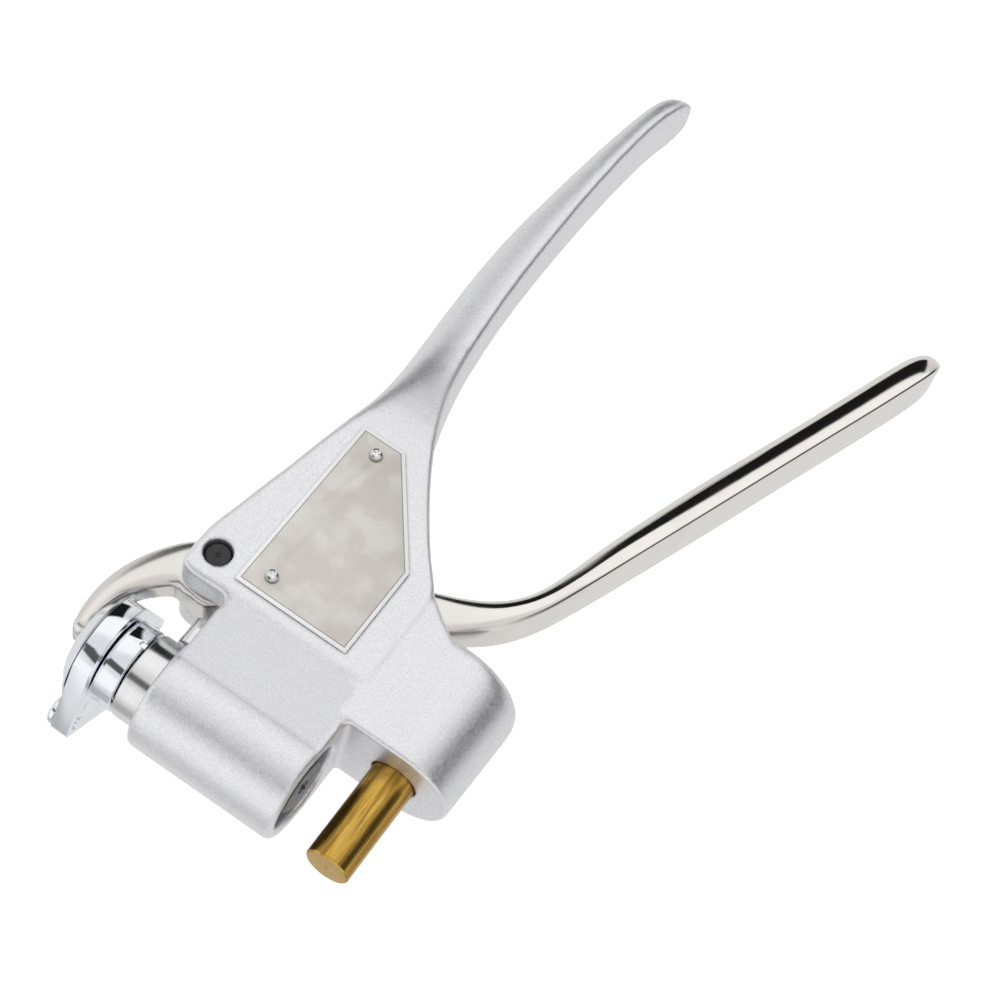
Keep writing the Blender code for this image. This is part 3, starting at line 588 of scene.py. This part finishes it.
class Sketch:
    """A mesh in the tool's millimetres, built from rings of points."""

    def __init__(self, name: str) -> None:
        """Starts an empty mesh."""
        self.name = name
        self.mesh = bmesh.new()

    def ring(self, points: Iterable[Point]) -> list[bmesh.types.BMVert]:
        """Adds a ring of vertices."""
        return [self.mesh.verts.new(row(*point)) for point in points]

    def skin(self, rings: Sequence[Sequence[bmesh.types.BMVert]], closed: bool = True,
             caps: bool = True) -> None:
        """Joins rings with quads.

        Args:
            rings: Rings of equal length, in order.
            closed: Whether each ring comes back to its first point.
            caps: Whether the first and last rings are filled.
        """
        for first, second in zip(rings, rings[1:]):
            count = len(first)
            for index in range(count if closed else count - 1):
                following = (index + 1) % count
                self.mesh.faces.new((first[index], first[following], second[following], second[index]))
        if caps:
            self.mesh.faces.new(list(reversed(rings[0])))
            self.mesh.faces.new(rings[-1])

    def build(self, body: Body, finish: Finish, smooth: bool = True) -> bpy.types.Object:
        """Turns the sketch into an object that rides on a body.

        Args:
            body: The CAD body it moves with.
            finish: What it is coated with.
            smooth: Whether its faces are shaded smooth.

        Returns:
            The new object.
        """
        bmesh.ops.recalc_face_normals(self.mesh, faces=self.mesh.faces)
        data = bpy.data.meshes.new(self.name)
        self.mesh.to_mesh(data)
        self.mesh.free()
        data.polygons.foreach_set("use_smooth", [smooth] * len(data.polygons))
        obj = bpy.data.objects.new(self.name, data)
        bpy.context.scene.collection.objects.link(obj)
        finish.coat(obj)
        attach(obj, body.value)
        return obj


def settle(obj: bpy.types.Object) -> bpy.types.Object:
    """Applies an object's modifiers to its mesh."""
    depsgraph = bpy.context.evaluated_depsgraph_get()
    final = bpy.data.meshes.new_from_object(obj.evaluated_get(depsgraph))
    obj.modifiers.clear()
    spent = obj.data
    obj.data = final
    bpy.data.meshes.remove(spent)
    return obj


def remove(obj: bpy.types.Object) -> None:
    """Deletes a helper object and its mesh."""
    data = obj.data
    bpy.data.objects.remove(obj)
    bpy.data.meshes.remove(data)


def through_points(rows: Sequence[Sequence[float]], steps: int) -> list[list[float]]:
    """Smooth rows through a list of rows of numbers, by Catmull-Rom curves."""
    padded = [rows[0], *rows, rows[-1]]
    found: list[list[float]] = []
    for index in range(1, len(padded) - 2):
        before, start, end, after = padded[index - 1:index + 3]
        for step in range(steps):
            t = step / steps
            found.append([0.5 * (2 * b + (c - a) * t + (2 * a - 5 * b + 4 * c - d) * t ** 2
                                 + (3 * b - a - 3 * c + d) * t ** 3)
                          for a, b, c, d in zip(before, start, end, after)])
    found.append(list(rows[-1]))
    return found


# ---------------------------------------------------------------- sub-assemblies


@dataclass
class FrameCasting:
    """The casting, with every edge and corner softened as a blasted casting's are.

    Each blend is its reach, its strength and a path in plan along which faces run together.
    """

    voxel: float = 0.42
    weld: float = 0.002
    ease: float = 0.5
    passes: int = 7
    soft_passes: int = 90
    fade: float = 1.6
    blends: tuple[tuple[float, float, tuple[tuple[float, float], ...]], ...] = (
        (3.4, 0.5, ((-50.0, 19.5), (-16.0, 20.7), (-14.5, 12.7))),
        (13.0, 1.0, ((-50.0, 82.0), (-44.0, 96.0))),
        (5.0, 0.35, ((-40.3, 87.0), (-44.1, 105.0), (-45.1, 121.0), (-45.6, 141.0), (-43.7, 164.3),
                     (-41.8, 180.4))),
    )

    def soften(self, skin: bpy.types.Object) -> None:
        """Relaxes the skin further where faces run into each other without an edge.

        Args:
            skin: The skin, already settled.
        """
        places = np.empty(len(skin.data.vertices) * 3)
        skin.data.vertices.foreach_get("co", places)
        plan = places.reshape(-1, 3)[:, :2]
        weight = np.zeros(len(plan))
        for reach, strength, path in self.blends:
            for start, end in zip(path, path[1:]):
                first = np.array(row(*start, 0.0)[:2])
                span = np.array(row(*end, 0.0)[:2]) - first
                share = np.clip((plan - first) @ span / (span @ span), 0.0, 1.0)
                away = np.linalg.norm(plan - first - share[:, None] * span, axis=1) / (reach * MM)
                near = np.clip(self.fade - self.fade * away, 0.0, 1.0)
                weight = np.maximum(weight, strength * near)
        group = skin.vertex_groups.new(name="blends")
        for index in np.flatnonzero(weight):
            group.add([int(index)], float(weight[index]), "REPLACE")
        soften = skin.modifiers.new("soften", "SMOOTH")
        soften.vertex_group = group.name
        soften.factor = self.ease
        soften.iterations = self.soft_passes
        settle(skin)

    def build(self) -> list[bpy.types.Object]:
        """Remeshes a copy of the CAD frame finely and relaxes it.

        Returns:
            The skin, which stands for the frame node.
        """
        skin = bpy.data.objects.new("frame_skin", NODES["frame"].data.copy())
        bpy.context.scene.collection.objects.link(skin)
        weld = skin.modifiers.new("weld", "WELD")
        weld.merge_threshold = self.weld * MM
        grid = skin.modifiers.new("grid", "REMESH")
        grid.mode = "VOXEL"
        grid.voxel_size = self.voxel * MM
        relax = skin.modifiers.new("relax", "SMOOTH")
        relax.factor = self.ease
        relax.iterations = self.passes
        settle(skin)
        self.soften(skin)
        skin.data.polygons.foreach_set("use_smooth", [True] * len(skin.data.polygons))
        SILVER.coat(skin)
        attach(skin, Body.FRAME.value)
        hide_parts("frame")
        return [skin]


@dataclass
class LeverBar:
    """The polished lever: one smooth bar from the nose over the arch to the grip.

    Each station is a point on the outer side and one on the inner side of the bar, half its
    height, and the reach of the outer and inner corners across and in Z.
    """

    arch: float = 3.9
    steps: int = 7
    corner_steps: int = 10
    bush_radius: float = 4.65
    pivot: tuple[float, float] = (-54.38, 26.29)
    stations: list[tuple[float, ...]] = field(default_factory=list)

    def __post_init__(self) -> None:
        """Lays out the stations."""
        arch = self.arch
        self.stations = [
            (-69.7, -1.1, -68.4, -1.15, 2.2, 0.7, 0.7, 0.7, 0.7),
            (-70.4, -0.2, -67.6, -0.4, 3.3, 1.2, 1.2, 1.2, 1.2),
            (-70.9, 1.5, -67.25, 0.9, arch, 1.9, 2.4, 1.5, 1.7),
            (-71.66, 5.1, -67.25, 4.4, arch, 2.4, 3.0, 1.8, 2.0),
            (-71.86, 10.8, -66.3, 9.9, arch, 3.1, 3.3, 2.2, 2.2),
            (-70.8, 16.7, -64.3, 13.6, arch, 4.0, 3.4, 2.6, 2.2),
            (-68.4, 22.5, -62.2, 16.2, arch, 4.8, 3.3, 3.0, 2.1),
            (-64.9, 27.6, -59.4, 18.7, arch, 4.6, 2.8, 3.0, 1.8),
            (-61.2, 30.9, -56.4, 18.6, arch, 3.2, 2.1, 2.2, 1.5),
            (-56.9, 33.9, -51.4, 18.8, arch, 1.6, 1.6, 1.2, 1.2),
            (-50.5, 34.4, -46.4, 23.2, arch, 1.4, 1.4, 1.2, 1.2),
            (-40.0, 39.3, -35.0, 30.3, arch, 1.4, 1.4, 1.2, 1.2),
            (-26.0, 46.1, -21.5, 37.0, arch, 1.8, 1.6, 1.6, 1.4),
            (-16.0, 50.9, -11.2, 41.9, arch, 3.0, 2.4, 2.6, 2.0),
            (-11.0, 53.2, -6.8, 44.8, 4.2, 3.6, 2.8, 3.0, 2.5),
            (-6.2, 55.9, -2.9, 48.0, 4.9, 3.9, 3.3, 3.0, 2.8),
            (-2.4, 59.2, 1.3, 53.0, 5.6, 4.0, 3.9, 2.4, 2.4),
            (0.7, 64.1, 5.2, 59.9, 5.9, 4.1, 4.7, 1.6, 1.6),
            (3.2, 71.5, 8.9, 69.1, 6.3, 4.6, 5.7, 1.1, 1.1),
            (7.1, 85.4, 14.0, 83.0, 6.7, 5.6, 6.3, 0.8, 0.8),
            (14.1, 106.9, 21.7, 104.0, 6.9, 7.3, 6.7, 0.8, 0.8),
            (22.2, 128.9, 29.7, 126.1, 6.9, 7.2, 6.8, 0.8, 0.8),
            (28.9, 147.5, 36.5, 144.7, 6.9, 7.3, 6.8, 0.8, 0.8),
            (32.8, 158.5, 40.4, 155.8, 6.8, 7.2, 6.7, 0.8, 0.8),
            (35.0, 164.1, 42.2, 161.6, 6.2, 6.8, 6.1, 0.7, 0.8),
            (36.7, 167.0, 42.58, 165.0, 4.7, 5.4, 4.6, 0.6, 0.8),
            (38.4, 168.6, 41.9, 167.4, 2.3, 3.0, 2.2, 0.5, 0.6),
        ]

    def section(self, station: Sequence[float]) -> list[Point]:
        """The ring across the bar at a station: quarter ellipses at its four corners."""
        outer, inner = Vector(station[0:2]), Vector(station[2:4])
        half = station[4]
        width = (inner - outer).length
        across = (inner - outer) / width
        quarters = ((width, half, station[7:9], 0), (0.0, half, station[5:7], 90),
                    (0.0, -half, station[5:7], 180), (width, -half, station[7:9], 270))
        ring: list[Point] = []
        for side, level, (reach, rise), start in quarters:
            inward = -reach if side else reach
            drop = -rise if level > 0 else rise
            for step in range(self.corner_steps + 1):
                angle = math.radians(start + 90 * step / self.corner_steps)
                place = outer + across * (side + inward + reach * math.cos(angle))
                ring.append((place.x, place.y, level + drop + rise * math.sin(angle)))
        return ring

    def circle(self, level: float) -> list[Point]:
        """The bush's hole at a level."""
        x, y = self.pivot
        angles = [2 * math.pi * step / 64 for step in range(64)]
        return [(x + self.bush_radius * math.cos(turn), y + self.bush_radius * math.sin(turn), level)
                for turn in angles]

    def build(self) -> list[bpy.types.Object]:
        """Lofts the bar and bores it for the bush.

        Returns:
            The bar, which stands for the lever node.
        """
        sketch = Sketch("lever_bar")
        rings = [sketch.ring(self.section(station)) for station in through_points(self.stations, self.steps)]
        sketch.skin(rings)
        bar = sketch.build(Body.LEVER, MIRROR)
        bore = Sketch("bush_bore")
        bore.skin([bore.ring(self.circle(level)) for level in (-6.0, 6.0)])
        cutter = bore.build(Body.LEVER, MIRROR)
        cut = bar.modifiers.new("bore", "BOOLEAN")
        cut.operation = "DIFFERENCE"
        cut.object = cutter
        relax = bar.modifiers.new("relax", "SMOOTH")
        relax.factor = 0.5
        relax.iterations = 4
        bar.modifiers.move(1, 0)
        settle(bar)
        remove(cutter)
        bar.data.set_sharp_from_angle(angle=math.radians(50))
        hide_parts("lever")
        return [bar]


@dataclass
class Coil:
    """A helical spring along X."""

    name: str
    stands_for: str
    body: Body
    joint: str
    low: float
    high: float
    radius: float
    wire: float
    turns: float
    fixed_end: float
    keep: float
    steps: int = 28
    sides: int = 10

    def build(self) -> list[bpy.types.Object]:
        """Sweeps round wire along a helix with closed end turns."""
        sketch = Sketch(self.name)
        count = int(self.turns * self.steps)
        travel = self.high - self.low - 2 * self.wire
        rings = []
        for index in range(count + 1):
            share = index / count
            angle = 2 * math.pi * self.turns * share
            eased = min(1.0, max(0.0, (share * self.turns - 0.75) / (self.turns - 1.5)))
            x = self.low + self.wire + travel * eased
            out = Vector((0.0, math.cos(angle), math.sin(angle)))
            ring = []
            for side in range(self.sides):
                turn = 2 * math.pi * side / self.sides
                offset = out * (self.radius + self.wire * math.cos(turn))
                ring.append((x + self.wire * math.sin(turn), offset.y, offset.z))
            rings.append(sketch.ring(ring))
        sketch.skin(rings)
        spring = sketch.build(self.body, WIRE)
        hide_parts(self.stands_for)
        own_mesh(spring)
        return [spring]


@dataclass
class DialScale:
    """Generic scale on the sector dial: an arc and its graduation marks, with no numbers."""

    face: float = -62.0
    thickness: float = 0.03
    pivot_z: float = -8.0
    radius: float = 6.6
    sweep: float = 70.5
    start: float = -35.25
    divisions: int = 20

    def arc_point(self, radius: float, degrees: float) -> tuple[float, float]:
        """A point (Y, Z) at that radius and angle from straight down."""
        angle = math.radians(degrees)
        return radius * math.sin(angle), self.pivot_z - radius * math.cos(angle)

    def stroke(self, sketch: Sketch, outline: Sequence[tuple[float, float]]) -> None:
        """Adds a thin raised shape from its (Y, Z) outline."""
        top = self.face - self.thickness
        lower = sketch.ring((self.face - 0.005, y, z) for y, z in outline)
        upper = sketch.ring((top, y, z) for y, z in outline)
        sketch.skin([lower, upper])

    def build(self) -> list[bpy.types.Object]:
        """Draws the arc and the marks."""
        sketch = Sketch("dial_scale")
        inner, outer = self.radius, self.radius + 0.12
        angles = [self.start + self.sweep * index / 30 for index in range(31)]
        arc = [self.arc_point(inner, angle) for angle in angles]
        arc += [self.arc_point(outer, angle) for angle in reversed(angles)]
        self.stroke(sketch, arc)
        for index in range(self.divisions + 1):
            angle = self.start + self.sweep * index / self.divisions
            length = 1.0 if index % 5 == 0 else 0.55
            half = 0.9 if index % 5 == 0 else 0.55
            tip = outer + length
            mark = [self.arc_point(outer, angle - half), self.arc_point(outer, angle + half),
                    self.arc_point(tip, angle + half), self.arc_point(tip, angle - half)]
            self.stroke(sketch, mark)
        return [sketch.build(Body.HOUSING, INK, smooth=False)]


@dataclass
class Refined:
    """CAD nodes given smooth rounds and broken edges, each as a piece that stands for its node."""

    edge: float = 0.10
    round_limit: float = 28.0
    plan: dict[str, tuple[Body, Finish]] = field(default_factory=lambda: {
        "lever_pin": (Body.FRAME, OXIDE),
        "lever_bush": (Body.LEVER, BRONZE),
        "anvil": (Body.FRAME, BRASS),
        "anvil_set_screw": (Body.FRAME, OXIDE),
        "housing_key": (Body.FRAME, GROUND),
        "key_screw": (Body.FRAME, OXIDE),
        "name_plate": (Body.FRAME, PLATE),
        "name_plate_screw_upper": (Body.FRAME, GROUND),
        "name_plate_screw_lower": (Body.FRAME, GROUND),
        "front_guide_ring": (Body.FRAME, OXIDE),
        "penetrator_housing": (Body.HOUSING, GROUND),
        "load_adjusting_nut": (Body.HOUSING, CHROME),
        "indicator_case": (Body.HOUSING, CHROME),
        "indicator_screw_left": (Body.HOUSING, CHROME),
        "indicator_screw_right": (Body.HOUSING, CHROME),
        "thrust_cap": (Body.HOUSING, CHROME),
        "dial": (Body.HOUSING, DIAL_FACE),
        "crystal": (Body.HOUSING, WINDOW),
        "spring_seat": (Body.PENETRATOR, WORN),
        "penetrator": (Body.PENETRATOR, WORN),
        "pointer_shaft": (Body.POINTER, GROUND),
        "pointer": (Body.POINTER, INK),
    })
    thin: tuple[str, ...] = ("dial", "crystal", "pointer", "pointer_shaft", "name_plate_screw_upper",
                             "name_plate_screw_lower", "penetrator")

    def refine(self, node: str, body: Body, finish: Finish) -> bpy.types.Object:
        """Cleans a copy of a node's mesh, breaks its edges and smooths its rounds.

        Args:
            node: The CAD node's name.
            body: The body the node rides on.
            finish: What the piece is coated with.

        Returns:
            The piece.
        """
        data = bpy.data.meshes.new(f"{node}_skin")
        mesh = bmesh.new()
        mesh.from_mesh(NODES[node].data)
        bmesh.ops.remove_doubles(mesh, verts=mesh.verts, dist=0.002 * MM)
        bmesh.ops.dissolve_limit(mesh, angle_limit=math.radians(0.3), verts=mesh.verts, edges=mesh.edges)
        mesh.to_mesh(data)
        mesh.free()
        carried = data.attributes.get("custom_normal")
        if carried is not None:
            data.attributes.remove(carried)
        piece = bpy.data.objects.new(f"{node}_skin", data)
        bpy.context.scene.collection.objects.link(piece)
        if node not in self.thin:
            bevel = piece.modifiers.new("broken_edges", "BEVEL")
            bevel.limit_method = "ANGLE"
            bevel.angle_limit = math.radians(self.round_limit)
            bevel.width = self.edge * MM
            bevel.segments = 2
            settle(piece)
        piece.data.polygons.foreach_set("use_smooth", [True] * len(piece.data.polygons))
        piece.data.set_sharp_from_angle(angle=math.radians(self.round_limit))
        finish.coat(piece)
        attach(piece, body.value)
        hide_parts(node)
        return piece

    def build(self) -> list[bpy.types.Object]:
        """Refines each node in the plan."""
        return [self.refine(node, body, finish) for node, (body, finish) in self.plan.items()]


# ---------------------------------------------------------------- studio


@dataclass(frozen=True)
class Patch:
    """A soft-edged patch of the studio's surround, seen only as light and reflection."""

    centre: Point
    across: float
    up: float
    level: float
    edge: float = 0.35

    def mask(self, graph: Graph, direction: Socket) -> Socket:
        """How much of the patch lies in a direction, from 0 to 1."""
        ahead = Vector(self.centre).normalized()
        side = ahead.cross(Vector((0, 0, 1))).normalized()
        top = side.cross(ahead)
        dots = [graph.node("ShaderNodeVectorMath", {"operation": "DOT_PRODUCT"},
                           {0: direction, 1: tuple(axis)}, output="Value") for axis in (ahead, side, top)]
        facing, sideways, upwards = dots
        limits = ((sideways, math.sin(math.radians(self.across))), (upwards, math.sin(math.radians(self.up))))
        mask = facing.rise(0.0, 0.05)
        for part, limit in limits:
            mask = mask * abs(part).rise(limit * (1 + self.edge), limit * (1 - self.edge))
        return mask


@dataclass
class Studio:
    """Camera, plain pale floor and a soft surround with dark gaps between its lights."""

    camera_place: Point = (68.21, -179.50, 480.48)
    camera_turn: Point = (28.58, -8.19, 33.68)
    lens: float = 95.43
    sensor: float = 36.0
    floor_reach: float = 12.0
    floor_glow: float = 0.6
    key_size: tuple[float, float] = (0.9, 0.6)
    key_energy: float = 3.0
    key_place: Point = (-250.0, 350.0, 900.0)
    key_aim: Point = (-20.0, 40.0, 0.0)
    sky: float = 0.80
    ground: float = 0.78
    pale: Colour = (0.96, 0.96, 0.965)
    patches: tuple[Patch, ...] = (
        Patch((-0.16, 0.46, 0.87), 36.0, 24.0, 1.06, 0.4),
        Patch((-0.16, -0.97, 0.18), 60.0, 20.0, 1.05, 0.4),
        Patch((-0.13, -0.62, 0.77), 34.0, 8.0, 0.10, 0.3),
        Patch((0.80, 0.44, 0.36), 44.0, 19.0, 0.03, 0.4),
        Patch((-0.51, 0.81, 0.29), 18.0, 21.0, 0.01, 0.12),
        Patch((-0.16, -0.75, -0.62), 40.0, 14.0, 0.50, 0.4),
    )

    def build_camera(self) -> bpy.types.Object:
        """Places the camera."""
        lens = bpy.data.cameras.new("camera")
        lens.lens = self.lens
        lens.sensor_width = self.sensor
        camera = bpy.data.objects.new("camera", lens)
        camera.location = row(*self.camera_place)
        camera.rotation_euler = Euler([math.radians(angle) for angle in self.camera_turn])
        bpy.context.scene.collection.objects.link(camera)
        bpy.context.scene.camera = camera
        return camera

    def build_floor(self) -> bpy.types.Object:
        """Lays a wide pale floor just under the tool."""
        low = CAD_BOX[0].z - 0.1 * MM
        reach = self.floor_reach
        mesh = bpy.data.meshes.new("floor")
        mesh.from_pydata([(-reach, -reach, low), (reach, -reach, low), (reach, reach, low),
                          (-reach, reach, low)], [], [(0, 1, 2, 3)])
        floor = bpy.data.objects.new("floor", mesh)
        bpy.context.scene.collection.objects.link(floor)
        material = bpy.data.materials.new("pale_floor")
        graph = Graph(material)
        graph.finish(graph.surface(Base_Color=(0.9, 0.9, 0.9), Roughness=0.9, Specular_IOR_Level=0.0,
                                   Emission_Color=(1.0, 1.0, 1.0), Emission_Strength=self.floor_glow))
        mesh.materials.append(material)
        floor.visible_glossy = False
        return floor

    def build_surround(self) -> None:
        """Paints the surround: a bright sky, a greyer ground and the patches."""
        world = bpy.data.worlds.new("surround")
        bpy.context.scene.world = world
        graph = Graph(world)
        direction = graph.node("ShaderNodeTexCoord", output="Generated")
        height = graph.axes(direction)[2]
        level = self.ground + height.rise(-0.45, 0.02) * (self.sky - self.ground)
        for patch in self.patches:
            level = level + patch.mask(graph, direction) * (patch.level - level)
        seen = graph.node("ShaderNodeLightPath", output="Is Camera Ray")
        tone = graph.node("ShaderNodeCombineColor", values={0: level, 1: level * 0.995, 2: level * 0.99})
        colour = graph.mix(seen, tone, self.pale)
        graph.finish(graph.node("ShaderNodeBackground", values={"Color": colour, "Strength": 1.0}))

    def build_key_light(self) -> bpy.types.Object:
        """Hangs one large soft light over the far side."""
        data = bpy.data.lights.new("softbox", "AREA")
        data.shape = "RECTANGLE"
        data.size, data.size_y = self.key_size
        data.energy = self.key_energy
        light = bpy.data.objects.new("softbox", data)
        light.location = row(*self.key_place)
        aim = row(*self.key_aim) - light.location
        light.rotation_euler = aim.to_track_quat("-Z", "Y").to_euler()
        light.visible_camera = False
        light.visible_glossy = False
        bpy.context.scene.collection.objects.link(light)
        return light

    def build(self) -> None:
        """Sets the whole studio."""
        bpy.context.scene.view_settings.view_transform = "Standard"
        self.build_camera()
        self.build_floor()
        self.build_surround()
        self.build_key_light()


def main() -> None:
    """Builds the sub-assemblies in order."""
    logging.basicConfig(level=logging.INFO, format="%(name)s: %(message)s")
    Studio().build()
    assemblies = (
        FrameCasting(),
        LeverBar(),
        Refined(),
        Coil("return_coil", "return_spring", Body.FRAME, "housing_travel", low=-29.0, high=-17.5,
             radius=8.2, wire=0.6, turns=4.0, fixed_end=-17.5, keep=0.38),
        Coil("load_coil", "load_spring", Body.HOUSING, "penetrator_travel", low=-48.6, high=-36.1,
             radius=5.9, wire=0.8, turns=5.5, fixed_end=-48.6, keep=0.96),
        DialScale(),
    )
    for assembly in assemblies:
        for piece in assembly.build():
            LOG.info("%s: %s, %d faces", type(assembly).__name__, piece.name, len(piece.data.polygons))


if __name__ == "__main__":
    main()
